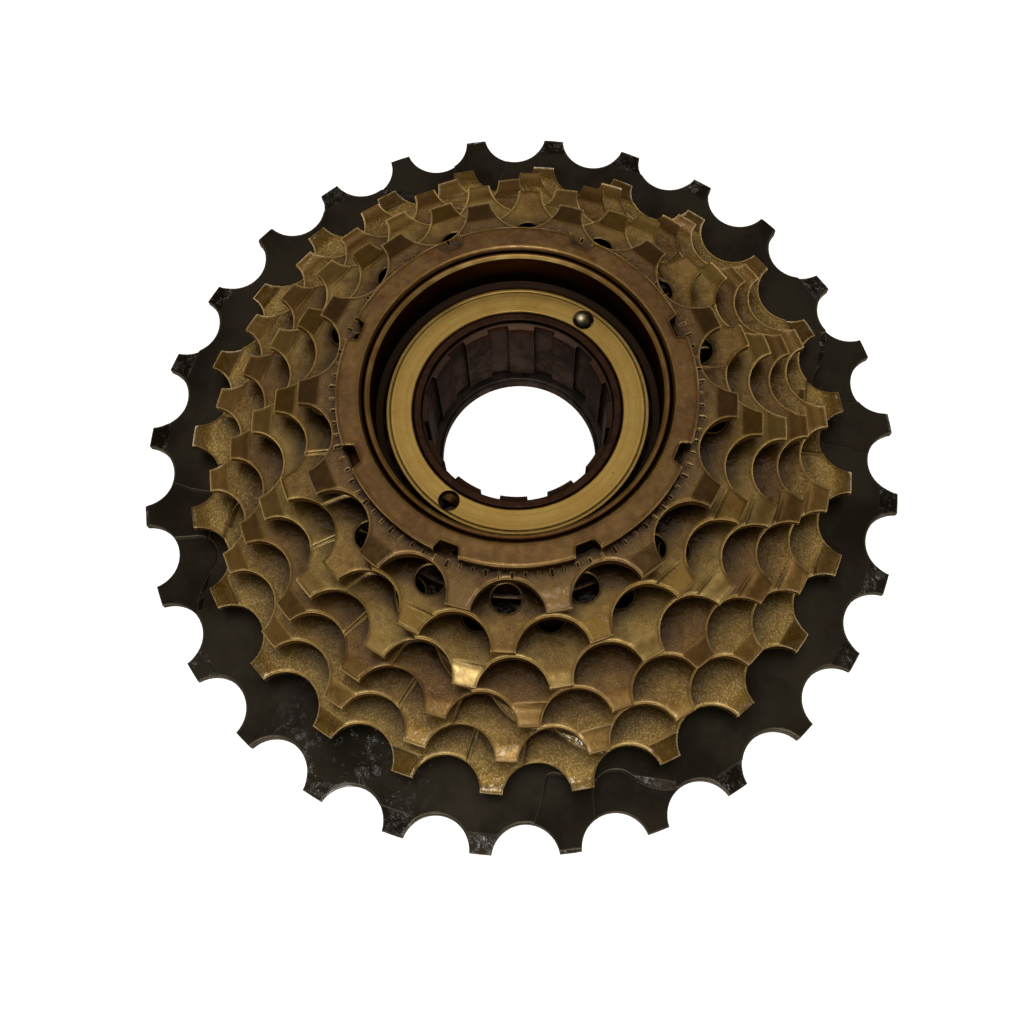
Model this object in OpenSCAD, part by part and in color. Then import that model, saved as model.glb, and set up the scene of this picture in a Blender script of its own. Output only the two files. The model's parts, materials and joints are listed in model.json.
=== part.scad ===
// Seven-speed screw-on bicycle freewheel, 14-16-18-20-22-24-28 teeth.
// The part lies on its hub side: +Z points from the hub shoulder to the smallest sprocket.
// The origin is on the turning axis, on the rear face of the inner body. Units: millimetres.

/* [Chain and sprockets] */
// Pitch of the chain that the teeth fit
chain_pitch = 12.7; // [12.6:0.05:12.8]
// Distance from one sprocket's face to the next one's
sprocket_step = 5.0; // [4.9:0.05:5.2]
// Thickness of a sprocket plate
plate_t = 2.0; // [1.8:0.1:2.2]
// Height of the largest sprocket's back above the hub shoulder
stack_base = 2.2; // [2.2:0.1:2.6]
// Radius of the round gap between two teeth
gap_r = 4.9; // [4.6:0.05:5.0]
// Depth of the gap's bottom below the pitch circle
gap_depth = 3.95; // [3.8:0.05:4.1]
// Height of a tooth above the pitch circle
tooth_h = 0.45; // [0.2:0.05:0.8]
// Width of the broken edge round the front of each gap
edge_break = 0.25; // [0.1:0.05:0.3]

/* [Shifting ramps] */
// Depth of the shallow pocket around the first ramp tooth
pocket_shallow = 0.35; // [0.2:0.05:0.5]
// Depth of the deep pocket around the second ramp tooth
pocket_deep = 0.65; // [0.5:0.05:0.8]
// Length of the flat bevel on a tooth's front, from the tip inwards
bevel_len = 2.9; // [2:0.1:3.4]
// Slope of that bevel, in degrees
bevel_slope = 15; // [8:1:20]
// Sideways tilt of the bevel on a ramp tooth, in degrees
ramp_tilt = 8; // [5:1:10]

/* [Plate holes] */
// Diameter of the round holes in the 16 and 18 tooth plates
plate_hole_d = 4.0; // [3.6:0.1:4.2]
// Distance from the axis to the holes of the 16 tooth plate
hole_ring_16t = 26.0; // [25.8:0.1:26.2]
// Distance from the axis to the holes of the 18 tooth plate
hole_ring_18t = 27.7; // [27.5:0.1:28]

/* [Outer body] */
// Radius of the barrel that carries the five smaller sprockets
barrel_r = 22.0; // [21.8:0.1:22.1]
// Radius of the barrel that carries the two largest sprockets
barrel_rear_r = 25.0; // [24.8:0.1:25.2]
// Number of splines that drive the sprockets
spline_count = 9; // [6:1:12]
// Height of a spline above the barrel
spline_h = 1.2; // [0.8:0.1:1.3]
// Radius of the flange behind the largest sprocket
flange_r = 28.0; // [27:0.5:30]
// Radius of the open well in front of the bearing cone
well_r = 19.1; // [19.0:0.05:19.2]
// Number of teeth of the internal ratchet
ratchet_teeth = 24; // [24:12:24]

/* [Lock ring] */
// Outer radius of the lock ring
lockring_r = 23.57; // [23.3:0.05:23.8]
// Thickness of the lock ring
lockring_t = 2.1; // [1.8:0.1:2.4]
// Number of tool notches in its rim
notch_count = 8; // [4:2:12]

/* [Inner body] */
// Major radius of the hub thread, 1.375 inch by 24 threads per inch
hub_thread_r = 17.4625; // [17.3:0.05:17.5]
// Length of the hub thread
hub_thread_len = 9.6; // [9:0.2:9.6]
// Radius of the plain lip that the axle passes through
lip_r = 11.2; // [10.8:0.1:11.6]
// Radius over the lands of the tool splines
tool_land_r = 12.0; // [11.8:0.1:12.1]
// Radius to the bottom of the tool spline grooves
tool_groove_r = 12.6; // [12.4:0.1:12.7]
// Number of tool spline grooves
tool_grooves = 12; // [8:1:16]
// Radius of the left-hand thread that holds the cone
cone_thread_r = 14.0; // [13.9:0.05:14.1]
// Height of the bearing cone's face
cone_face_z = 29.7; // [29.7:0.1:30.2]

/* [Bearings] */
// Diameter of a bearing ball, one eighth of an inch
ball_d = 3.175; // [3.1:0.025:3.175]
// Distance from the axis to the centres of the front balls
front_ring_r = 16.9; // [16.9:0.05:16.95]
// Distance from the axis to the centres of the rear balls
rear_ring_r = 21.0; // [21.0:0.05:21.05]
// Number of balls in the front row
front_balls = 32; // [20:1:33]
// Number of balls in the rear row
rear_balls = 40; // [24:1:41]

/* [Hidden] */
$fn = 120;
eps = 0.01;
over = 1;

// One row per sprocket, largest first: tooth count, angle of its first ramp tooth, times that
// the ramp pattern repeats round the sprocket (0: no ramps), outer radius of the spacer in front.
TEETH = [28, 24, 22, 20, 18, 16, 14];
TIMING = [274.6, 262.8, 248.8, 233.4, 216.3, 196.7, 200.9];
REPEATS = [4, 4, 2, 2, 2, 2, 0];
SPACER_R = [33, 31, 29, 27, 25.5, 23.9];

// Colours
bronze = [0.50, 0.37, 0.20];
bronze_dark = [0.36, 0.25, 0.14];
gold = [0.78, 0.62, 0.28];
black = [0.10, 0.10, 0.10];
steel = [0.55, 0.55, 0.54];
steel_dark = [0.25, 0.22, 0.20];

// Round inner end of the deep pocket: angle of its centre in tooth pitches from the first ramp
// tooth, depth of the centre below the gap bottoms, radius, and the angle at which the long back
// edge leaves it
BOWL = [0.615, 2.2, 2.65, 40];
BOWL_28T = [0.665, 2.4, 3.28, 35];
back_edge_r = 8.5;
back_edge_end = -8;
crescent_slope = 20;
crescent_w = 0.9;
// Front edge of the shallow pocket: its angle in tooth pitches at the gap, part way in and at the
// inner corner
LEADING = [-0.31, -0.25, -0.20];
LEADING_28T = [-0.385, -0.285, -0.19];
leading_side = 2.8;
pocket_corner_r = 1.2;
lip_w = 0.5;
lip_slope = 30;
arc_steps = 10;

// Heights
barrel_step_z = face_z(1) - 0.1;
barrel_top = face_z(6) - 1.0;
lockring_top = face_z(6) + lockring_t;
rim_top = lockring_top - 0.4;
front_ball_z = 26.9;
rear_ball_z = 5.0;
race_r = ball_d / 2 + 0.06;
shim_t = 0.2;
shim_seat_z = 25.2;
cone_seat_z = shim_seat_z + 2 * shim_t;
flange_z = 0.8;
seal_t = 0.9;

// Pawls and ratchet
pawl_z0 = 12.4;
pawl_w = 6.4;
pocket_z0 = 12.2;
pocket_w = 6.8;
ratchet_z0 = 11.8;
ratchet_z1 = 21.0;
ratchet_tip_r = 17.0;
ratchet_root_r = 18.3;
hub_r = 16.7;
pivot_r = 15.0;
heel_r = 1.3;
pawl_nose_r = 17.9;
pawl_nose_under_r = 16.6;
pawl_nose_angle = 20;
pawl_gap_angle = 1.1;
pawl_fold = 12;
tooth_lean = 2.4;
pawl_starts = [35, 215];
spring_z = pawl_z0 + pawl_w / 2;
spring_r = 16.15;
spring_wire_r = 0.3;

function pitch_r(n) = chain_pitch / 2 / sin(180 / n);
function tip_r(n) = pitch_r(n) + tooth_h;
function root_r(n) = pitch_r(n) - gap_depth;
function face_z(i) = stack_base + plate_t + i * sprocket_step;
function polar(r, a) = [r * cos(a), r * sin(a)];
function arc_points(centre, r, a0, a1) = [
    for (k = [0 : arc_steps]) centre + polar(r, a0 + (a1 - a0) * k / arc_steps)
];

// ---------------------------------------------------------------- sprockets

// Bowl and leading edge of sprocket number i
function bowl(i) = i == 0 ? BOWL_28T : BOWL;
function leading(i) = i == 0 ? LEADING_28T : LEADING;

// Point at an angle in tooth pitches and a depth below the gap bottoms
function ramp_point(n, pitches, depth) = polar(root_r(n) - depth, pitches * 360 / n);

// Corner b of an outline from a to c, rounded with radius r
function rounded_corner(a, b, c, r) =
    let (
        u = (a - b) / norm(a - b),
        v = (c - b) / norm(c - b),
        half = acos(u * v) / 2,
        centre = b + (u + v) / norm(u + v) * r / sin(half),
        middle = atan2(-u[1] - v[1], -u[0] - v[0]),
        side = u[0] * v[1] - u[1] * v[0] > 0 ? 90 - half : half - 90
    )
    arc_points(centre, r, middle + side, middle - side);

// Plain gear outline with its first ramp tooth on +X
module tooth_outline(n) {
    difference() {
        circle(r = tip_r(n));
        at_gaps(n)
            circle(r = gap_r);
    }
}

// Puts its children at the centre of every tooth gap
module at_gaps(n) {
    for (k = [0 : n - 1])
        rotate((k + 0.5) * 360 / n)
            translate([root_r(n) + gap_r, 0])
                children();
}

// Shallow pocket round the first ramp tooth, seen from the front, down to radius inner_r
module shallow_pocket(i, inner_r) {
    n = TEETH[i];
    depth = min(7.1, root_r(n) - inner_r);
    gap = ramp_point(n, leading(i)[0], 0);
    side = ramp_point(n, leading(i)[1], min(leading_side, 0.6 * depth));
    foot = ramp_point(n, leading(i)[2], depth);
    floor_end = ramp_point(n, 0.45, bowl(i)[1] + 0.7 * bowl(i)[2]);
    polygon(concat(
        [ramp_point(n, 0.5, -6), ramp_point(n, leading(i)[0], -6), gap, side],
        rounded_corner(side, foot, floor_end, pocket_corner_r),
        [floor_end]
    ));
}

// Cutter for the slanted lip on the body along the leading edge, with a fine groove at its foot
module lip_cut(i) {
    n = TEETH[i];
    start = ramp_point(n, leading(i)[0], -2);
    end = ramp_point(n, leading(i)[1], leading_side);
    run = end - start;
    length = norm(run) + 1.5;
    width = 0.9;
    translate(start)
        rotate(atan2(run[1], run[0]) + 90)
            translate([-lip_w, -length, 0])
                rotate([0, lip_slope, 0])
                    cube([width, length, over]);
}

// Moves its children to the bowl of sprocket number i, with +X outwards and +Y round the sprocket
module at_bowl(i) {
    n = TEETH[i];
    angle = bowl(i)[0] * 360 / n;
    translate(polar(root_r(n) - bowl(i)[1], angle))
        rotate(angle)
            children();
}

// Centre of the long back edge, seen from the bowl
function back_edge_centre(i) = polar(bowl(i)[2] + back_edge_r, 90 + bowl(i)[3]);

// Deep pocket round the second ramp tooth, seen from the front: the bowl, with the back edge that
// swings out from it to the next gap
module deep_pocket(i) {
    n = TEETH[i];
    r = bowl(i)[2];
    leave = bowl(i)[3];
    gap_y = root_r(n) * sin((1.5 - bowl(i)[0]) * 360 / n);
    at_bowl(i)
        polygon(concat(
            [[8, -1.5 * r], [0.4 * r, -1.1 * r]],
            arc_points([0, 0], r, 255, 90 + leave),
            arc_points(back_edge_centre(i), back_edge_r, leave - 90, back_edge_end),
            [back_edge_centre(i) + [back_edge_r + 0.5, 0] + [0, gap_y - back_edge_centre(i)[1]]],
            [[8, gap_y]]
        ));
}

// Cutter for the slanted crescent on the body along the back edge of the deep pocket. It starts at
// nothing where the bowl ends and is crescent_w wider than the edge's own bow at the gap.
module crescent_cut(i) {
    start = polar(bowl(i)[2], 90 + bowl(i)[3]);
    end = back_edge_centre(i) + polar(back_edge_r, back_edge_end);
    chord = end - [crescent_w, 0] - start;
    width = 1.6;
    at_bowl(i)
        translate(start)
            rotate(atan2(chord[1], chord[0]) - 90)
                rotate([0, crescent_slope, 0])
                    cube([width, norm(chord), over]);
}

// Cutter for the front of one tooth: a plane that drops by slope degrees from radius r outwards
// and leans by tilt degrees to one side, starting depth below the face
module front_cut(r, slope, tilt, depth) {
    reach = 9;
    translate([r, 0, -depth])
        rotate([tilt, slope, 0])
            translate([0, -reach, 0])
                cube([reach, 2 * reach, reach]);
}

// The cutter for tooth k of a pattern that repeats every period teeth
module tooth_cut(n, k, period) {
    plain_bevel = k > 3 && !(k == 5 || (k == 6 && period > 7));
    if (period == 0 || plain_bevel)
        front_cut(tip_r(n) - bevel_len, bevel_slope, 0, 0);
    else if (k < 2)
        front_cut(tip_r(n) - 1.1, 2 * bevel_slope, 0, 0);
    else if (k == 2)
        front_cut(tip_r(n) - bevel_len - 0.2, bevel_slope / 2, -ramp_tilt, 0.3);
    else if (k > 3)
        front_cut(tip_r(n) - bevel_len - 0.4, bevel_slope / 2, ramp_tilt, 0.3);
}

// Bore of a sprocket or spacer: the barrel and its splines with a running gap
module spline_section(r, gap) {
    spline_angle = 11;
    circle(r = r + gap);
    for (k = [0 : spline_count - 1])
        rotate(k * 360 / spline_count)
            difference() {
                circle(r = r + spline_h + gap);
                for (side = [-1, 1])
                    rotate(side * (spline_angle / 2 + gap * 2.6))
                        translate([-60, side > 0 ? 0 : -120])
                            square(120);
                translate([-120, -60])
                    square(120);
            }
}

// Sprocket number i, with holes on a ring of radius hole_ring_r when that is not 0
module sprocket(i, hole_ring_r = 0) {
    n = TEETH[i];
    repeats = REPEATS[i];
    period = repeats > 0 ? n / repeats : 0;
    inner_r = max(root_r(TEETH[min(i + 1, 6)]) - 3, 24.6);
    bore_r = i < 2 ? barrel_rear_r : barrel_r;
    translate([0, 0, face_z(i)])
        difference() {
            translate([0, 0, -plate_t])
                linear_extrude(plate_t)
                    difference() {
                        rotate(TIMING[i])
                            tooth_outline(n);
                        spline_section(bore_r, 0.05);
                        if (hole_ring_r > 0)
                            for (k = [0 : n - 1])
                                rotate(TIMING[i] + k * 360 / n)
                                    translate([hole_ring_r, 0])
                                        circle(d = plate_hole_d);
                    }
            rotate(TIMING[i]) {
                at_gaps(n)
                    cylinder(r1 = gap_r + edge_break - 1, r2 = gap_r + edge_break + 1, h = 2, center = true);
                for (k = [0 : n - 1])
                    rotate(k * 360 / n)
                        tooth_cut(n, period > 0 ? k % period : k, period);
                if (repeats > 0)
                    for (k = [0 : repeats - 1])
                        rotate(k * 360 / repeats) {
                            translate([0, 0, -pocket_shallow])
                                linear_extrude(over)
                                    shallow_pocket(i, inner_r);
                            translate([0, 0, -pocket_deep])
                                linear_extrude(over)
                                    deep_pocket(i);
                            if (i > 0)
                                lip_cut(i);
                            crescent_cut(i);
                        }
            }
        }
}

module sprocket_28t() {
    color(black) sprocket(0);
}

module sprocket_24t() {
    color(bronze) sprocket(1);
}

module sprocket_22t() {
    color(bronze) sprocket(2);
}

module sprocket_20t() {
    color(bronze_dark) sprocket(3);
}

module sprocket_18t() {
    color(bronze) sprocket(4, hole_ring_18t);
}

module sprocket_16t() {
    color(bronze) sprocket(5, hole_ring_16t);
}

// The smallest sprocket has a ring of fine, uneven radial nicks round the lock ring, and a relief
// under the lock ring that shows dark in its notches
module sprocket_14t() {
    nick_r = 23.75;
    nick_depth = 0.3;
    nicks = 90;
    relief_r = 22.85;
    relief_depth = 0.7;
    color(bronze_dark)
        difference() {
            sprocket(6);
            translate([0, 0, face_z(6) - relief_depth])
                cylinder(r = relief_r, h = over);
            translate([0, 0, face_z(6) - nick_depth])
                linear_extrude(over)
                    for (k = [0 : nicks - 1])
                        let (width = 0.24 + 0.12 * sin(k * 137), length = 0.75 + 0.2 * cos(k * 83))
                            rotate((k + 0.5) * 360 / nicks)
                                translate([nick_r, -width / 2])
                                    square([length, width]);
        }
}

// Spacer in front of sprocket number i
module spacer(i) {
    color(steel_dark)
        translate([0, 0, face_z(i)])
            linear_extrude(sprocket_step - plate_t)
                difference() {
                    circle(r = SPACER_R[i]);
                    spline_section(i < 1 ? barrel_rear_r : barrel_r, 0.05);
                }
}

module spacer_28_24() {
    spacer(0);
}

module spacer_24_22() {
    spacer(1);
}

module spacer_22_20() {
    spacer(2);
}

module spacer_20_18() {
    spacer(3);
}

module spacer_18_16() {
    spacer(4);
}

module spacer_16_14() {
    spacer(5);
}

// ---------------------------------------------------------------- outer body

// The bearing groove of a row of balls, as a section to be taken out of a race
module race_section(r, z) {
    translate([r, z])
        circle(r = race_r, $fn = 60);
}

// Body shell with the rear flange, the two cups and the threaded front rim, without its splines
module body_shell() {
    shelf_r = 18.05;
    rotate_extrude()
        difference() {
            polygon([
                [23.2, flange_z], [flange_r, flange_z], [flange_r, stack_base],
                [barrel_rear_r, stack_base], [barrel_rear_r, barrel_step_z],
                [barrel_r, barrel_step_z], [barrel_r, barrel_top], [20.15, barrel_top],
                [20.15, rim_top - 0.3], [19.85, rim_top], [well_r + 0.45, rim_top],
                [well_r, rim_top - 0.4], [well_r, 28.9], [shelf_r, 28.6], [shelf_r, 28.0],
                [16.5, 25.0], [16.5, 24.2],
                [17.6, 23.2], [17.6, ratchet_z1 + 1], [ratchet_root_r + 0.3, ratchet_z1 + 1],
                [ratchet_root_r + 0.3, ratchet_z1], [hub_r + 0.1, ratchet_z1],
                [hub_r + 0.1, ratchet_z0], [20.2, ratchet_z0], [20.2, 6.3], [22.75, 5.0],
                [22.75, flange_z + seal_t], [23.2, flange_z + seal_t]
            ]);
            race_section(front_ring_r, front_ball_z);
            race_section(rear_ring_r, rear_ball_z);
        }
}

// Inner outline of the ratchet, with the foot of a steep face at angle 0 that faces clockwise.
// The face leans back, so that a pawl's nose can swing out in front of it.
module ratchet_outline() {
    step = 360 / ratchet_teeth;
    polygon([
        for (k = [0 : ratchet_teeth - 1], end = [0, 1])
            end == 0
                ? polar(ratchet_root_r, k * step)
                : polar(ratchet_tip_r, k * step + tooth_lean)
    ]);
}

module outer_body() {
    color(bronze_dark) {
        difference() {
            body_shell();
            translate([0, 0, ratchet_z0 - 0.5])
                linear_extrude(ratchet_z1 - ratchet_z0 + 1)
                    rotate(pawl_starts[0] + pawl_nose_angle + pawl_gap_angle)
                        ratchet_outline();
        }
        translate([0, 0, barrel_step_z])
            linear_extrude(barrel_top - barrel_step_z)
                difference() {
                    spline_section(barrel_r, 0);
                    circle(r = barrel_r - 0.5);
                }
        translate([0, 0, stack_base])
            linear_extrude(barrel_step_z - stack_base)
                difference() {
                    spline_section(barrel_rear_r, 0);
                    circle(r = barrel_rear_r - 0.5);
                }
    }
}

// Thin ring that closes the rear ball row against dirt
module dust_seal() {
    color(black)
        translate([0, 0, flange_z])
            linear_extrude(seal_t)
                difference() {
                    circle(r = 23.15);
                    circle(r = 21.6);
                }
}

module lockring() {
    rim_angle = 4.75;
    floor_angle = 3.15;
    floor_r = 22.1;
    first_notch = 20;
    color(bronze_dark)
        translate([0, 0, face_z(6)])
            difference() {
                rotate_extrude()
                    polygon([
                        [20.2, 0], [lockring_r, 0], [lockring_r, lockring_t - 0.25],
                        [lockring_r - 0.25, lockring_t], [20.6, lockring_t], [20.2, lockring_t - 0.4]
                    ]);
                for (k = [0 : notch_count - 1])
                    rotate(first_notch + k * 360 / notch_count)
                        translate([0, 0, -over])
                            linear_extrude(lockring_t + 2 * over)
                                polygon([
                                    polar(floor_r, -floor_angle), polar(lockring_r + 0.6, -rim_angle),
                                    polar(lockring_r + 0.6, rim_angle), polar(floor_r, floor_angle)
                                ]);
            }
}

// ---------------------------------------------------------------- inner body

// Turned shape of the inner body, from the axis out to its races
module inner_section() {
    rim_r = 12.9;
    land_top = cone_face_z - 1.3;
    difference() {
        polygon([
            [hub_thread_r, 0], [21.0, 0], [21.3, 0.3], [21.3, 4.4], [19.6, 6.2], [19.6, 10.6],
            [hub_r, 11.4], [hub_r, 22.4], [15.6, 23.4], [15.6, shim_seat_z],
            [cone_thread_r, shim_seat_z], [cone_thread_r, cone_face_z - 0.2],
            [cone_thread_r - 0.2, cone_face_z], [rim_r + 0.1, cone_face_z],
            [rim_r, cone_face_z - 0.1], [rim_r, land_top + 0.3], [tool_groove_r, land_top + 0.2],
            [tool_land_r, land_top], [tool_land_r, 13.2], [13.0, 13.0],
            [13.0, 11.8], [lip_r + 0.4, 11.8], [lip_r, 11.4], [lip_r, hub_thread_len],
            [hub_thread_r, hub_thread_len]
        ]);
        race_section(rear_ring_r, rear_ball_z);
    }
}

// Grooves of the tool spline
module tool_spline() {
    groove_angle = 13;
    first_groove = 10;
    intersection() {
        circle(r = tool_groove_r);
        for (k = [0 : tool_grooves - 1])
            rotate(first_groove + k * 360 / tool_grooves)
                polygon([
                    polar(5, -groove_angle / 2), polar(20, -groove_angle / 2),
                    polar(20, groove_angle / 2), polar(5, groove_angle / 2)
                ]);
    }
}

// Room for a pawl to swing in, with the pivot at the origin and the nose towards +X
module pawl_pocket() {
    circle(r = heel_r + 0.05);
    polygon([
        [0, 0], [0, -heel_r - 0.05], [0.5, -1.42], [6.4, -1.05], [7.2, 3.5], [0.35, 3.5], [0.35, 0]
    ]);
}

// Places a pawl's own frame at its pivot on the inner body
module at_pivot(k) {
    rotate(pawl_starts[k] - 90)
        translate([0, pivot_r])
            mirror([1, 0])
                children();
}

module inner_body() {
    color(steel)
        difference() {
            rotate_extrude()
                inner_section();
            translate([0, 0, 12.5])
                linear_extrude(cone_face_z)
                    tool_spline();
            for (k = [0, 1])
                translate([0, 0, pocket_z0])
                    linear_extrude(pocket_w)
                        at_pivot(k)
                            pawl_pocket();
            rotate_extrude()
                translate([spring_r - 0.5, spring_z - 0.4])
                    square([2, 0.8]);
        }
}

// Turns a pawl that is drawn with its nose out in a ratchet tooth until it is folded in, as it
// is while a tooth passes over it
module folded(k) {
    pivot = polar(pivot_r, pawl_starts[k]);
    translate(pivot)
        rotate(pawl_fold)
            translate(-pivot)
                children();
}

// Pawl k, folded in
module pawl(k) {
    nose = [pawl_nose_r * sin(pawl_nose_angle), pawl_nose_r * cos(pawl_nose_angle) - pivot_r];
    under = [
        pawl_nose_under_r * sin(pawl_nose_angle),
        pawl_nose_under_r * cos(pawl_nose_angle) - pivot_r
    ];
    color(steel_dark)
        translate([0, 0, pawl_z0])
            folded(k)
                difference() {
                    linear_extrude(pawl_w)
                        at_pivot(k) {
                            circle(r = heel_r);
                            polygon([[0, 0], [0.55, -1.15], under, nose, [0.4, 1.2]]);
                        }
                    rotate_extrude()
                        translate([15.5, pawl_w / 2 - 0.5])
                            square([4, 1]);
                }
}

module pawl_1() {
    pawl(0);
}

module pawl_2() {
    pawl(1);
}

// Open wire ring that lies in the slots of both pawls
module pawl_spring() {
    color(steel)
        translate([0, 0, spring_z])
            rotate(pawl_starts[0] - 60)
                rotate_extrude(angle = 330)
                    translate([spring_r, 0])
                        circle(r = spring_wire_r, $fn = 24);
}

// Shim number k under the bearing cone
module shim(k) {
    color(steel)
        translate([0, 0, shim_seat_z + k * shim_t])
            linear_extrude(shim_t)
                difference() {
                    circle(r = 15.5);
                    circle(r = cone_thread_r + 0.05);
                }
}

module shim_1() {
    shim(0);
}

module shim_2() {
    shim(1);
}

// Adjusting cone with two holes for a pin spanner
module bearing_cone() {
    cone_r = 17.8;
    pin_ring_r = 15.7;
    pin_hole_r = 1.4;
    pin_depth = 1.5;
    first_pin = 52.4;
    line_r = 17.1;
    color(gold)
        difference() {
            rotate_extrude()
                difference() {
                    polygon([
                        [cone_thread_r + 0.05, cone_seat_z], [15.6, cone_seat_z], [cone_r, 28.2],
                        [cone_r, cone_face_z - 0.25], [cone_r - 0.25, cone_face_z],
                        [line_r + 0.12, cone_face_z], [line_r, cone_face_z - 0.12],
                        [line_r - 0.12, cone_face_z], [cone_thread_r + 0.25, cone_face_z],
                        [cone_thread_r + 0.05, cone_face_z - 0.2]
                    ]);
                    race_section(front_ring_r, front_ball_z);
                }
            for (a = [first_pin, first_pin + 180])
                rotate(a)
                    translate([pin_ring_r, 0, cone_face_z - pin_depth]) {
                        cylinder(r = pin_hole_r, h = pin_depth + over, $fn = 48);
                        translate([0, 0, -0.7])
                            cylinder(r1 = 0, r2 = pin_hole_r, h = 0.7 + eps, $fn = 48);
                    }
        }
}

// A row of balls
module ball_row(count, r, z) {
    color(steel)
        for (k = [0 : count - 1])
            rotate(k * 360 / count)
                translate([r, 0, z])
                    sphere(d = ball_d, $fn = 32);
}

module balls_front() {
    ball_row(front_balls, front_ring_r, front_ball_z);
}

module balls_rear() {
    ball_row(rear_balls, rear_ring_r, rear_ball_z);
}

inner_body();
bearing_cone();
shim_1();
shim_2();
pawl_1();
pawl_2();
pawl_spring();
balls_front();
balls_rear();
outer_body();
dust_seal();
lockring();
sprocket_14t();
spacer_16_14();
sprocket_16t();
spacer_18_16();
sprocket_18t();
spacer_20_18();
sprocket_20t();
spacer_22_20();
sprocket_22t();
spacer_24_22();
sprocket_24t();
spacer_28_24();
sprocket_28t();
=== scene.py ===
"""Looks for a seven-speed screw-on bicycle freewheel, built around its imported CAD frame."""

import json
import math

import bpy
from mathutils import Matrix, Vector


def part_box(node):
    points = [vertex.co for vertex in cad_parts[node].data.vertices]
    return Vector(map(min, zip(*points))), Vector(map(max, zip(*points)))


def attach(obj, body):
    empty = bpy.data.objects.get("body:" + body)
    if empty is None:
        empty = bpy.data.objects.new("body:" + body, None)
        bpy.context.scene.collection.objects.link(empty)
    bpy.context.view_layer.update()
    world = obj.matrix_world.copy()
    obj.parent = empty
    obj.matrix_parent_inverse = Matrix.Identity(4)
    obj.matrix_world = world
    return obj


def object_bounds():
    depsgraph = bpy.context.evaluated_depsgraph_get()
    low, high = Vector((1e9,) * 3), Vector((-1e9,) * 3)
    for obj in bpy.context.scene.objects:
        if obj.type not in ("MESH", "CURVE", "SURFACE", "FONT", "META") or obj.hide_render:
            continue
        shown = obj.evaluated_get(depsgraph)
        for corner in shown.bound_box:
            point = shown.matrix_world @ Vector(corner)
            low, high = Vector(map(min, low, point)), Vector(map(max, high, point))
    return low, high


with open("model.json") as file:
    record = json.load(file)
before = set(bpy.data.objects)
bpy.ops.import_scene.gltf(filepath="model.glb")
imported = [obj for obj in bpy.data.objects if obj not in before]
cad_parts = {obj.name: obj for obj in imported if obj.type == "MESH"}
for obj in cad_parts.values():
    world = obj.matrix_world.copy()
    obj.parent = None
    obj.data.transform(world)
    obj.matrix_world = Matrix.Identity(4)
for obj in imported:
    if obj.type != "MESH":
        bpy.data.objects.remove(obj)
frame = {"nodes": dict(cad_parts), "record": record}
MM = 0.001
nodes = frame["nodes"]
cad_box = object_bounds()


# ---------------------------------------------------------------- node helpers


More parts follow.
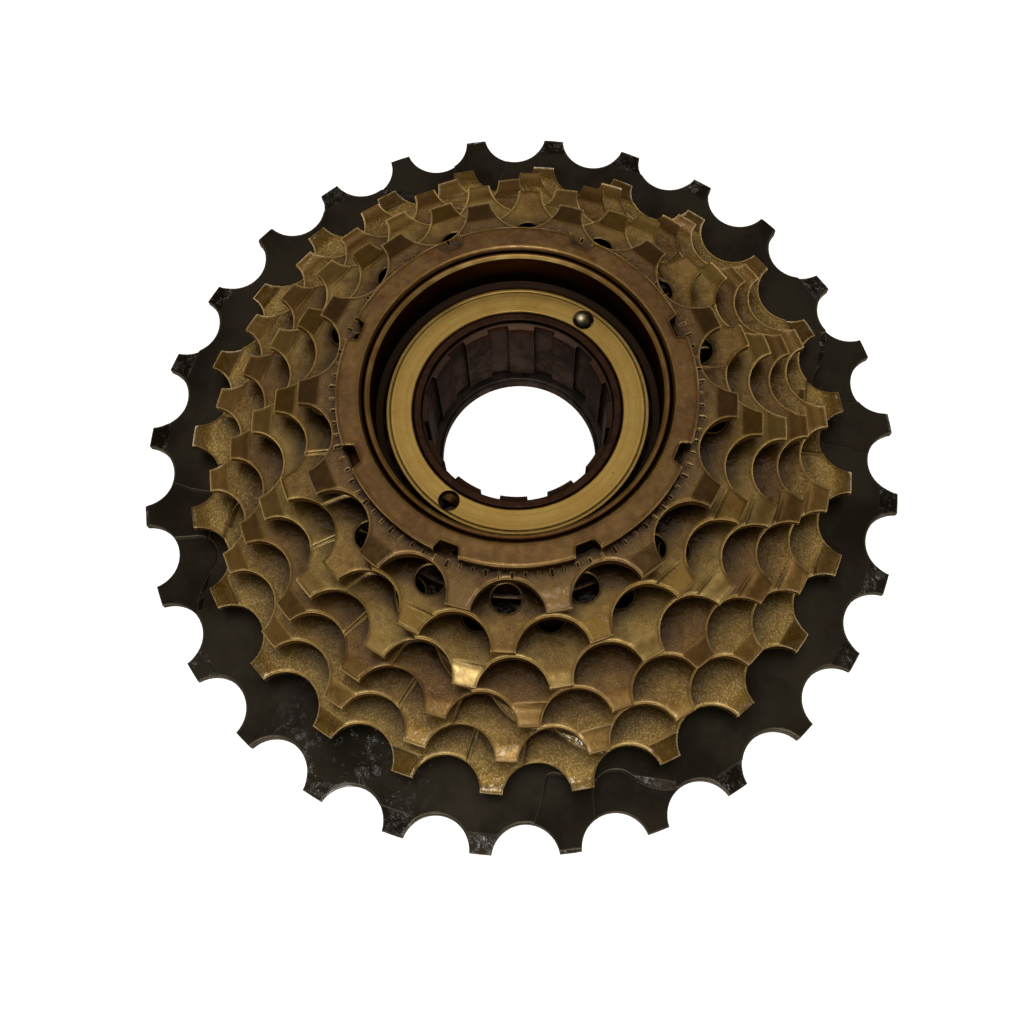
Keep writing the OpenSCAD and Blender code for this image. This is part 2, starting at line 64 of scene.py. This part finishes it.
class Shader:
    """A material's node tree, with short calls for the nodes that the finishes share."""

    def __init__(self, name):
        self.material = bpy.data.materials.new(name)
        self.material.use_nodes = True
        self.tree = self.material.node_tree
        self.bsdf = self.tree.nodes["Principled BSDF"]
        coords = self.add("ShaderNodeTexCoord")
        scale = self.add("ShaderNodeVectorMath", operation="SCALE")
        scale.inputs["Scale"].default_value = 1 / MM
        self.link(coords.outputs["Object"], scale.inputs[0])
        self.place = scale.outputs[0]

    def add(self, kind, **settings):
        made = self.tree.nodes.new(kind)
        for key, value in settings.items():
            setattr(made, key, value)
        return made

    def link(self, source, target):
        self.tree.links.new(source, target)

    def put(self, target, value):
        """Links value to a socket, or sets the socket to it when it is a plain number or colour."""
        if isinstance(value, bpy.types.NodeSocket):
            self.link(value, target)
        else:
            target.default_value = value

    def noise(self, size, detail=3.0, rough=0.5, distortion=0.0, place=None, seed=0.0):
        """Noise with blobs about size millimetres across."""
        made = self.add("ShaderNodeTexNoise", noise_dimensions="4D")
        self.link(place or self.place, made.inputs["Vector"])
        made.inputs["W"].default_value = seed
        made.inputs["Scale"].default_value = 1 / size
        made.inputs["Detail"].default_value = detail
        made.inputs["Roughness"].default_value = rough
        made.inputs["Distortion"].default_value = distortion
        return made.outputs["Fac"]

    def math(self, operation, a, b=0.0, clamp=False):
        made = self.add("ShaderNodeMath", operation=operation, use_clamp=clamp)
        self.put(made.inputs[0], a)
        self.put(made.inputs[1], b)
        return made.outputs[0]

    def spread(self, value, low, high, to_low=0.0, to_high=1.0):
        """Maps low..high smoothly to to_low..to_high."""
        made = self.add("ShaderNodeMapRange", interpolation_type="SMOOTHSTEP")
        self.put(made.inputs["Value"], value)
        for key, number in zip(
            ("From Min", "From Max", "To Min", "To Max"), (low, high, to_low, to_high)
        ):
            made.inputs[key].default_value = number
        return made.outputs["Result"]

    def mix(self, share, a, b, blend="MIX"):
        made = self.add("ShaderNodeMix", data_type="RGBA", blend_type=blend)
        self.put(made.inputs[0], share)
        self.put(made.inputs[6], a)
        self.put(made.inputs[7], b)
        return made.outputs[2]

    def bump(self, height, depth, normal=None):
        """Bump from a height of 0 to 1 that stands for depth millimetres."""
        made = self.add("ShaderNodeBump")
        made.inputs["Strength"].default_value = 1.0
        made.inputs["Distance"].default_value = depth * MM
        self.put(made.inputs["Height"], height)
        if normal is not None:
            self.link(normal, made.inputs["Normal"])
        return made.outputs[0]

    def rounded(self, radius):
        """Normal of the surface with its edges rounded by radius millimetres."""
        made = self.add("ShaderNodeBevel", samples=6)
        made.inputs["Radius"].default_value = radius * MM
        return made.outputs[0]

    def edges(self, rounded, low, high):
        """0 on flats to 1 at edges, from how far the rounded normal leans."""
        geometry = self.add("ShaderNodeNewGeometry")
        dot = self.add("ShaderNodeVectorMath", operation="DOT_PRODUCT")
        self.link(rounded, dot.inputs[0])
        self.link(geometry.outputs["Normal"], dot.inputs[1])
        lean = self.math("SUBTRACT", 1.0, dot.outputs["Value"])
        return self.spread(lean, low, high)

    def slanted(self):
        """1 on facets that face mostly up but lean by several degrees, 0 on flats and walls."""
        up = self.split(self.add("ShaderNodeNewGeometry").outputs["True Normal"], "Z")
        leaning = self.spread(up, 0.9995, 0.993)
        return self.math("MULTIPLY", leaning, self.spread(up, 0.70, 0.80))

    def walls(self):
        """1 on upright walls, 0 on anything that faces up or down."""
        up = self.split(self.add("ShaderNodeNewGeometry").outputs["True Normal"], "Z")
        return self.spread(self.math("ABSOLUTE", up), 0.45, 0.25)

    def near(self, x, y, inner, outer):
        """1 within inner millimetres of an upright line at x, y, fading to 0 at outer."""
        offset = self.add("ShaderNodeVectorMath", operation="DISTANCE")
        self.link(self.stretched(1, 1, 0), offset.inputs[0])
        offset.inputs[1].default_value = (x, y, 0)
        return self.spread(offset.outputs["Value"], inner, outer, 1.0, 0.0)

    def split(self, vector, axis):
        made = self.add("ShaderNodeSeparateXYZ")
        self.link(vector, made.inputs[0])
        return made.outputs[axis]

    def height(self):
        """Height above the part's origin, in millimetres."""
        return self.split(self.place, "Z")

    def radius(self):
        """Distance from the turning axis, in millimetres."""
        flat = self.stretched(1, 1, 0)
        made = self.add("ShaderNodeVectorMath", operation="LENGTH")
        self.link(flat, made.inputs[0])
        return made.outputs["Value"]

    def stretched(self, x, y, z):
        made = self.add("ShaderNodeVectorMath", operation="MULTIPLY")
        self.link(self.place, made.inputs[0])
        made.inputs[1].default_value = (x, y, z)
        return made.outputs[0]

    def turned(self, size, seed):
        """Fine rings round the axis, as a lathe leaves them, 0 to 1."""
        place = self.add("ShaderNodeCombineXYZ")
        self.link(self.radius(), place.inputs[0])
        self.link(self.height(), place.inputs[1])
        return self.noise(size, detail=3, rough=0.7, place=place.outputs[0], seed=seed)

    def shade(self, distance, low, high):
        """0 in corners to 1 in the open, within distance millimetres."""
        made = self.add("ShaderNodeAmbientOcclusion", samples=6)
        made.inputs["Distance"].default_value = distance * MM
        return self.spread(made.outputs["AO"], low, high)

    def set(self, **values):
        """Sets the finish: spaces in a socket's name are written as underscores."""
        for key, value in values.items():
            self.put(self.bsdf.inputs[key.replace("_", " ")], value)
        return self.material


def rgb(red, green, blue):
    return (red, green, blue, 1.0)


# ---------------------------------------------------------------- finishes


def bronze(
    name, dark, light, bright, facet, grain=0.20, grain_depth=0.018, fleck=0.3, rough=0.46,
    coat=0.12, gloss=0.15, seed=0.0, tip=None, tip_drop=0.0,
):
    """Antique bronze under lacquer: mottled brown, lighter on the edges from wear and painted
    highlight, with painted shade that darkens the upright walls and turns the corners black.

    Within a few millimetres of the radius tip, the face rolls off by tip_drop millimetres. Lacquer
    as glossy as gloss stands in pools on the slanted facets.
    """
    s = Shader(name)
    cloud = s.noise(8.0, detail=5, rough=0.62, distortion=0.4, seed=seed)
    patch = s.noise(1.5, detail=4, rough=0.6, seed=seed + 3)
    fine = s.noise(grain, detail=2, rough=0.65, seed=seed + 7)
    tone = s.math("ADD", s.math("MULTIPLY", cloud, 0.65), s.math("MULTIPLY", patch, 0.35))
    base = s.mix(s.spread(tone, 0.39, 0.60), dark, light)
    base = s.mix(s.spread(fine, 0.44, 0.74, 0.0, fleck), base, bright)
    base = s.mix(s.spread(fine, 0.56, 0.30, 0.0, fleck), base, dark)
    slanted = s.slanted()
    roll = s.spread(s.radius(), tip - 2.6, tip - 0.1) if tip else 0.0
    # Slanted facets and the tooth tips take the facet colour: partly the teeth's worn finish, partly
    # painted light, set lighter or darker than the flats to match how the lamps catch them.
    base = s.mix(s.math("MULTIPLY", s.math("MAXIMUM", slanted, roll), 0.75), base, facet)
    # Painted shade: upright walls are turned dark brown.
    base = s.mix(s.math("MULTIPLY", s.walls(), 0.75), base, rgb(0.04, 0.016, 0.005))
    # Painted shade: corners and faces under the overhanging sprocket above are turned near black,
    # within 6 mm.
    base = s.mix(s.shade(6.0, 0.56, 0.90), rgb(0.008, 0.002, 0.0008), base)
    # Edges turn toward the bright colour: partly wear through the lacquer, partly painted highlight,
    # kept out of corners and broken up in patches.
    wear_and_highlight = s.math("MULTIPLY", s.edges(s.rounded(0.36), 0.003, 0.06), s.shade(1.0, 0.50, 0.70))
    patchy = s.spread(s.noise(1.3, seed=seed + 11), 0.30, 0.60, 0.55, 1.0)
    base = s.mix(s.math("MULTIPLY", wear_and_highlight, patchy), base, bright)
    dull = s.spread(s.noise(0.9, detail=3, seed=seed + 17), 0.3, 0.7, rough - 0.06, rough + 0.08)
    dull = s.math("SUBTRACT", dull, s.math("MULTIPLY", s.math("MAXIMUM", slanted, wear_and_highlight), 0.10))
    relief = s.math("ADD", s.math("MULTIPLY", fine, 0.8), s.math("MULTIPLY", patch, 0.8))
    rolled = s.rounded(0.75)
    if tip:
        rolled = s.bump(s.math("SUBTRACT", 1.0, roll), tip_drop, rolled)
    film = s.noise(1.1, detail=2, rough=0.5, seed=seed + 23)
    pools = s.math("MULTIPLY", s.math("MAXIMUM", slanted, roll), s.spread(film, 0.42, 0.52))
    return s.set(
        Base_Color=base,
        Metallic=0.96,
        Roughness=dull,
        Specular_Tint=rgb(0.80, 0.66, 0.45),
        Coat_Weight=s.spread(pools, 0.0, 1.0, coat, gloss),
        Coat_Roughness=0.12,
        Coat_IOR=1.7,
        Coat_Normal=s.bump(film, 0.20, rolled),
        Normal=s.bump(relief, grain_depth, rolled),
    )


def black_coat():
    """Warm black coat of the largest sprocket, satin, with oil standing in streaks and drops."""
    s = Shader("black_coat")
    cloud = s.noise(12.0, detail=4, rough=0.6)
    patch = s.noise(1.2, detail=4, rough=0.6, seed=2)
    base = s.mix(s.spread(cloud, 0.35, 0.65), rgb(0.014, 0.011, 0.007), rgb(0.033, 0.027, 0.018))
    base = s.mix(s.spread(patch, 0.52, 0.75, 0.0, 0.4), base, rgb(0.034, 0.028, 0.019))
    rounded = s.rounded(0.42)
    wear_and_highlight = s.edges(rounded, 0.003, 0.06)
    # Edges turn lighter: partly wear, partly painted highlight.
    base = s.mix(s.math("MULTIPLY", wear_and_highlight, 0.8), base, rgb(0.20, 0.17, 0.12))
    # Painted shade: near black in corners and recesses, within 4 mm.
    base = s.mix(s.shade(4.0, 0.40, 0.92), rgb(0.002, 0.0015, 0.001), base)
    film = s.noise(0.8, detail=3, rough=0.55, distortion=0.6, seed=9)
    oil_radius, oil_angle = 50.0, math.radians(238)
    oil_x, oil_y = oil_radius * math.cos(oil_angle), oil_radius * math.sin(oil_angle)
    oily = s.near(oil_x, oil_y, 5.0, 15.0)
    streaks = s.noise(2.6, detail=6, rough=0.72, distortion=1.4, seed=5)
    wet = s.math("MULTIPLY", oily, s.spread(streaks, 0.53, 0.57))
    wet = s.math("MAXIMUM", wet, s.math("MULTIPLY", s.slanted(), s.spread(streaks, 0.48, 0.54)))
    fine = s.noise(0.22, detail=2, seed=3)
    return s.set(
        Base_Color=base,
        Metallic=0.9,
        Roughness=s.spread(patch, 0.3, 0.7, 0.40, 0.50),
        Specular_Tint=rgb(0.45, 0.40, 0.33),
        Coat_Weight=wet,
        Coat_Roughness=0.06,
        Coat_Normal=s.bump(film, 0.40, rounded),
        Normal=s.bump(fine, 0.010, rounded),
    )


def body_bronze():
    """Outer body: a bright turned chamfer round a brown rim, with painted shade that makes the deep
    well inside it near black and darkens the groove by the lock ring and the corners.
    """
    s = Shader("body_bronze")
    cloud = s.noise(3.0, detail=4, rough=0.6, seed=8)
    brown = s.mix(s.spread(cloud, 0.35, 0.65), rgb(0.07, 0.026, 0.008), rgb(0.14, 0.062, 0.018))
    gold = s.mix(s.spread(cloud, 0.35, 0.65), rgb(0.42, 0.27, 0.085), rgb(0.60, 0.42, 0.16))
    base = s.mix(s.spread(s.radius(), 19.50, 19.62), gold, brown)
    # Painted shade: inside radius 19.1 mm, the deep well wall is near black.
    base = s.mix(s.spread(s.radius(), 19.10, 19.20), rgb(0.030, 0.019, 0.012), base)
    # Painted shade: beyond radius 19.75 mm, the body is dark where it runs into the groove by the
    # lock ring.
    base = s.mix(s.spread(s.radius(), 19.72, 19.78), base, rgb(0.035, 0.013, 0.005))
    rounded = s.rounded(0.15)
    # Painted shade: near black in corners and recesses, within 1.2 mm.
    base = s.mix(s.shade(1.2, 0.25, 0.85), rgb(0.012, 0.004, 0.001), base)
    return s.set(
        Base_Color=base,
        Metallic=0.95,
        Roughness=s.spread(cloud, 0.3, 0.7, 0.34, 0.46),
        Specular_Tint=rgb(0.60, 0.42, 0.24),
        Normal=s.bump(s.turned(0.22, 8), 0.004, rounded),
    )


def cone_gold():
    """Bearing cone: gold with fine turned rings and dark spots, lighter on its edges from wear and
    painted highlight, with painted shade that darkens the pin holes and corners.
    """
    s = Shader("cone_gold")
    cloud = s.noise(5.0, detail=4, rough=0.6, distortion=0.5, seed=10)
    base = s.mix(s.spread(cloud, 0.35, 0.65), rgb(0.30, 0.185, 0.045), rgb(0.46, 0.30, 0.085))
    rings = s.turned(0.35, 4)
    base = s.mix(s.spread(rings, 0.45, 0.7, 0.0, 0.55), base, rgb(0.20, 0.11, 0.02))
    spots = s.spread(s.noise(0.5, detail=3, seed=12), 0.66, 0.74)
    base = s.mix(s.math("MULTIPLY", spots, 0.6), base, rgb(0.09, 0.04, 0.01))
    rounded = s.rounded(0.2)
    wear_and_highlight = s.edges(rounded, 0.01, 0.16)
    # Edges turn lighter gold: partly wear, partly painted highlight.
    base = s.mix(s.math("MULTIPLY", wear_and_highlight, 0.5), base, rgb(0.70, 0.52, 0.22))
    # Painted shade: darker in the pin holes and corners, within 3 mm.
    base = s.mix(s.shade(3.0, 0.35, 0.90), rgb(0.045, 0.020, 0.005), base)
    return s.set(
        Base_Color=base,
        Metallic=1.0,
        Roughness=s.spread(cloud, 0.3, 0.7, 0.38, 0.50),
        Normal=s.bump(rings, 0.006, rounded),
    )


def inner_steel():
    """Inner body: oiled dark brown steel, greyer on the tool splines, rusty at their heads."""
    s = Shader("inner_steel")
    cloud = s.noise(2.5, detail=4, rough=0.6, seed=11)
    brown = s.mix(s.spread(cloud, 0.35, 0.65), rgb(0.022, 0.009, 0.005), rgb(0.050, 0.023, 0.012))
    grey = s.mix(s.spread(cloud, 0.35, 0.65), rgb(0.052, 0.040, 0.032), rgb(0.095, 0.074, 0.060))
    rust = rgb(0.075, 0.028, 0.009)
    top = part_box("inner_body")[1].z / MM
    height = s.height()
    base = s.mix(s.spread(s.radius(), 12.7, 12.85), grey, brown)
    high = s.spread(height, top - 3.0, top - 1.4)
    head = s.math("MULTIPLY", high, s.spread(s.radius(), 12.75, 12.65))
    base = s.mix(s.math("MULTIPLY", head, s.spread(cloud, 0.4, 0.6, 0.2, 0.9)), base, rust)
    streak = s.noise(0.7, detail=3, place=s.stretched(1, 1, 0.12), seed=14)
    base = s.mix(s.spread(streak, 0.5, 0.7, 0.0, 0.5), base, rgb(0.05, 0.032, 0.024))
    rounded = s.rounded(0.18)
    wear_and_highlight = s.edges(rounded, 0.02, 0.25)
    # Edges turn lighter: partly wear, partly painted highlight.
    base = s.mix(s.math("MULTIPLY", wear_and_highlight, 0.35), base, rgb(0.30, 0.24, 0.19))
    # Painted shade: near black in corners and recesses, within 0.9 mm.
    base = s.mix(s.shade(0.9, 0.25, 0.85), rgb(0.006, 0.003, 0.002), base)
    return s.set(
        Base_Color=base,
        Metallic=0.95,
        Roughness=s.spread(cloud, 0.3, 0.7, 0.40, 0.54),
        Specular_Tint=rgb(0.22, 0.17, 0.13),
        Normal=s.bump(streak, 0.006, rounded),
    )


def metal(name, dark, light, rough_low, rough_high, seed=0.0):
    """Plain machined metal with light stains, turned to its dark colour in corners by painted shade.
    """
    s = Shader(name)
    cloud = s.noise(3.0, detail=4, rough=0.6, seed=seed)
    fine = s.noise(0.2, detail=2, seed=seed + 2)
    base = s.mix(s.spread(cloud, 0.35, 0.65), dark, light)
    return s.set(
        # Painted shade: corners take the dark colour.
        Base_Color=s.mix(s.shade(1.0, 0.2, 0.8), dark, base),
        Metallic=1.0,
        Roughness=s.spread(cloud, 0.3, 0.7, rough_low, rough_high),
        Normal=s.bump(fine, 0.005, s.rounded(0.2)),
    )


def tip_radius(teeth):
    """Radius of a sprocket's tooth tips, in millimetres."""
    low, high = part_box(f"sprocket_{teeth}t")
    return (high.y - low.y) / 2 / MM


FINISHES = {
    "bronze_14t": lambda: bronze(
        "bronze_14t", rgb(0.11, 0.050, 0.012), rgb(0.17, 0.096, 0.024), rgb(0.50, 0.32, 0.12),
        facet=rgb(0.125, 0.074, 0.030), coat=0.15, seed=1,
    ),
    "bronze_16t": lambda: bronze(
        "bronze_16t", rgb(0.14, 0.070, 0.015), rgb(0.24, 0.145, 0.035), rgb(0.62, 0.41, 0.13),
        facet=rgb(0.17, 0.10, 0.022), seed=2,
    ),
    "bronze_18t": lambda: bronze(
        "bronze_18t", rgb(0.17, 0.095, 0.020), rgb(0.29, 0.19, 0.048), rgb(0.72, 0.50, 0.18),
        facet=rgb(0.37, 0.25, 0.085), seed=3,
        tip=tip_radius(18), tip_drop=0.35,
    ),
    "bronze_20t": lambda: bronze(
        "bronze_20t", rgb(0.11, 0.050, 0.013), rgb(0.19, 0.105, 0.028), rgb(0.62, 0.40, 0.13),
        facet=rgb(0.27, 0.160, 0.052), seed=4,
        tip=tip_radius(20), tip_drop=0.5,
    ),
    "bronze_22t": lambda: bronze(
        "bronze_22t", rgb(0.15, 0.078, 0.016), rgb(0.26, 0.16, 0.040), rgb(0.72, 0.49, 0.18),
        facet=rgb(0.44, 0.265, 0.080), grain=0.22, grain_depth=0.045, fleck=0.5, seed=5,
        gloss=0.6, tip=tip_radius(22), tip_drop=0.45,
    ),
    "bronze_24t": lambda: bronze(
        "bronze_24t", rgb(0.20, 0.115, 0.025), rgb(0.33, 0.215, 0.055), rgb(0.82, 0.58, 0.22),
        facet=rgb(0.15, 0.078, 0.008), grain=0.25, grain_depth=0.060, fleck=0.6, seed=6,
        gloss=1.0, tip=tip_radius(24), tip_drop=0.3,
    ),
    "black_28t": black_coat,
    "lockring_bronze": lambda: bronze(
        "lockring_bronze", rgb(0.10, 0.045, 0.010), rgb(0.15, 0.078, 0.019), rgb(0.46, 0.29, 0.10),
        facet=rgb(0.22, 0.125, 0.035), grain=0.12, grain_depth=0.006, fleck=0.12, rough=0.42, seed=7,
    ),
    "body_bronze": body_bronze,
    "spacer_dark": lambda: bronze(
        "spacer_dark", rgb(0.03, 0.014, 0.006), rgb(0.07, 0.036, 0.014), rgb(0.20, 0.12, 0.05),
        facet=rgb(0.07, 0.036, 0.014), grain_depth=0.006, fleck=0.15, seed=9,
    ),
    "cone_gold": cone_gold,
    "inner_steel": inner_steel,
    "bright_steel": lambda: metal(
        "bright_steel", rgb(0.45, 0.44, 0.43), rgb(0.6, 0.59, 0.58), 0.25, 0.35, seed=12
    ),
    "pawl_steel": lambda: metal(
        "pawl_steel", rgb(0.15, 0.14, 0.13), rgb(0.28, 0.26, 0.24), 0.35, 0.45, seed=13
    ),
    "ball_steel": lambda: metal(
        "ball_steel", rgb(0.42, 0.34, 0.22), rgb(0.60, 0.50, 0.34), 0.40, 0.50, seed=14
    ),
    "seal_black": lambda: metal(
        "seal_black", rgb(0.01, 0.01, 0.01), rgb(0.02, 0.02, 0.02), 0.5, 0.6, seed=15
    ),
}


def dress():
    """Gives every CAD node the finish of its record slot."""
    slot_of = {row["node"]: row["material_slot"] for row in frame["record"]["subparts"]}
    made = {}
    for name, obj in nodes.items():
        slot = slot_of[name]
        if slot not in made:
            made[slot] = FINISHES[slot]()
        obj.data.materials.clear()
        obj.data.materials.append(made[slot])


# ---------------------------------------------------------------- hub thread


def thread_section(pitch):
    """Corners of the thread's section: radius and place along the axis, in metres."""
    wall, crest = 17.52 * MM, 16.94 * MM
    foot, flat = 0.42 * pitch, 0.07 * pitch
    return ((wall, -foot), (crest, -flat), (crest, flat), (wall, foot))


def make_hub_thread():
    """Screw thread in the back of the inner body, one ridge along a helix."""
    pitch = 25.4 / 24 * MM
    section = thread_section(pitch)
    sides = len(section)
    turns, steps = 7.5, 96
    count = int(turns * steps) + 1
    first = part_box("inner_body")[0].z + 0.9 * MM
    corners, faces = [], [tuple(reversed(range(sides)))]
    for k in range(count):
        angle = 2 * math.pi * k / steps
        height = first + pitch * k / steps
        corners += [(r * math.cos(angle), r * math.sin(angle), height + z) for r, z in section]
    for k in range(count - 1):
        ring, after = sides * k, sides * (k + 1)
        for c in range(sides):
            d = (c + 1) % sides
            faces.append((ring + c, ring + d, after + d, after + c))
    faces.append(tuple(sides * (count - 1) + c for c in range(sides)))
    mesh = bpy.data.meshes.new("hub_thread")
    mesh.from_pydata(corners, [], faces)
    mesh.materials.append(nodes["inner_body"].data.materials[0])
    thread = bpy.data.objects.new("hub_thread", mesh)
    bpy.context.scene.collection.objects.link(thread)
    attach(thread, "hub_core")


# ---------------------------------------------------------------- stage


def make_floor():
    """Plain white floor that glows a little, so that it stays white under the dim lamps."""
    mesh = bpy.data.meshes.new("floor")
    half = 3.0
    corners = [(-half, -half, 0), (half, -half, 0), (half, half, 0), (-half, half, 0)]
    mesh.from_pydata(corners, [], [(0, 1, 2, 3)])
    floor = bpy.data.objects.new("floor", mesh)
    bpy.context.scene.collection.objects.link(floor)
    clearance = 0.02 * MM
    floor.location.z = cad_box[0].z - clearance
    s = Shader("floor")
    mesh.materials.append(
        s.set(
            Base_Color=rgb(0.86, 0.86, 0.85),
            Roughness=0.9,
            Emission_Color=rgb(1.0, 1.0, 1.0),
            Emission_Strength=0.95,
        )
    )


def area_light(name, place, aim, size, power):
    """Round lamp at place, turned to aim."""
    data = bpy.data.lights.new(name, "AREA")
    data.shape = "DISK"
    data.size = size
    data.energy = power
    lamp = bpy.data.objects.new(name, data)
    bpy.context.scene.collection.objects.link(lamp)
    lamp.location = place
    lamp.rotation_euler = (aim - place).to_track_quat("-Z", "Y").to_euler()


def light():
    """A broad soft box overhead, a smaller lamp towards the front, and a dim studio round them."""
    centre = (cad_box[0] + cad_box[1]) / 2
    reach = 0.9
    # Name, lean towards the front in degrees, width in metres, and brightness of each lamp
    lamps = (("overhead", -14, 0.62, 1.45), ("front", 31, 0.34, 9.5))
    for name, lean, size, radiance in lamps:
        angle = math.radians(lean)
        place = centre + reach * Vector((-0.03, -math.sin(angle), math.cos(angle)))
        area_light(name, place, centre, size, radiance * math.pi * math.pi * size * size / 4)
    make_world()
    bpy.context.scene.view_settings.view_transform = "Standard"


def make_world():
    """Dim warm studio walls for the metal to reflect, with a pale backdrop behind the part."""
    world = bpy.data.worlds.new("studio")
    bpy.context.scene.world = world
    world.use_nodes = True
    tree = world.node_tree
    walls = tree.nodes["Background"]
    walls.inputs["Color"].default_value = rgb(1.0, 0.78, 0.52)
    walls.inputs["Strength"].default_value = 0.15
    backdrop = tree.nodes.new("ShaderNodeBackground")
    backdrop.inputs["Color"].default_value = rgb(0.93, 0.93, 0.92)
    seen = tree.nodes.new("ShaderNodeLightPath")
    either = tree.nodes.new("ShaderNodeMixShader")
    tree.links.new(seen.outputs["Is Camera Ray"], either.inputs[0])
    tree.links.new(walls.outputs[0], either.inputs[1])
    tree.links.new(backdrop.outputs[0], either.inputs[2])
    tree.links.new(either.outputs[0], tree.nodes["World Output"].inputs["Surface"])


def camera():
    """Camera above the smallest sprocket, tipped towards the front of the part."""
    tilt, roll, turn = math.radians(16.57), math.radians(-3.64), math.radians(0.94)
    data = bpy.data.cameras.new("camera")
    data.sensor_width = 36.0
    data.lens = 47.56
    data.clip_start = 0.01
    cam = bpy.data.objects.new("camera", data)
    bpy.context.scene.collection.objects.link(cam)
    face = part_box("sprocket_28t")[1].z
    side, back, height = -1.60 * MM, -64.89 * MM, 195.14 * MM
    place = Matrix.Translation(Vector((side, back, height + face)))
    turned = Matrix.Rotation(turn, 4, "Z")
    aimed = Matrix.Rotation(tilt, 4, "X") @ Matrix.Rotation(roll, 4, "Z")
    cam.matrix_world = turned @ place @ aimed
    bpy.context.scene.camera = cam


dress()
make_hub_thread()
make_floor()
light()
camera()
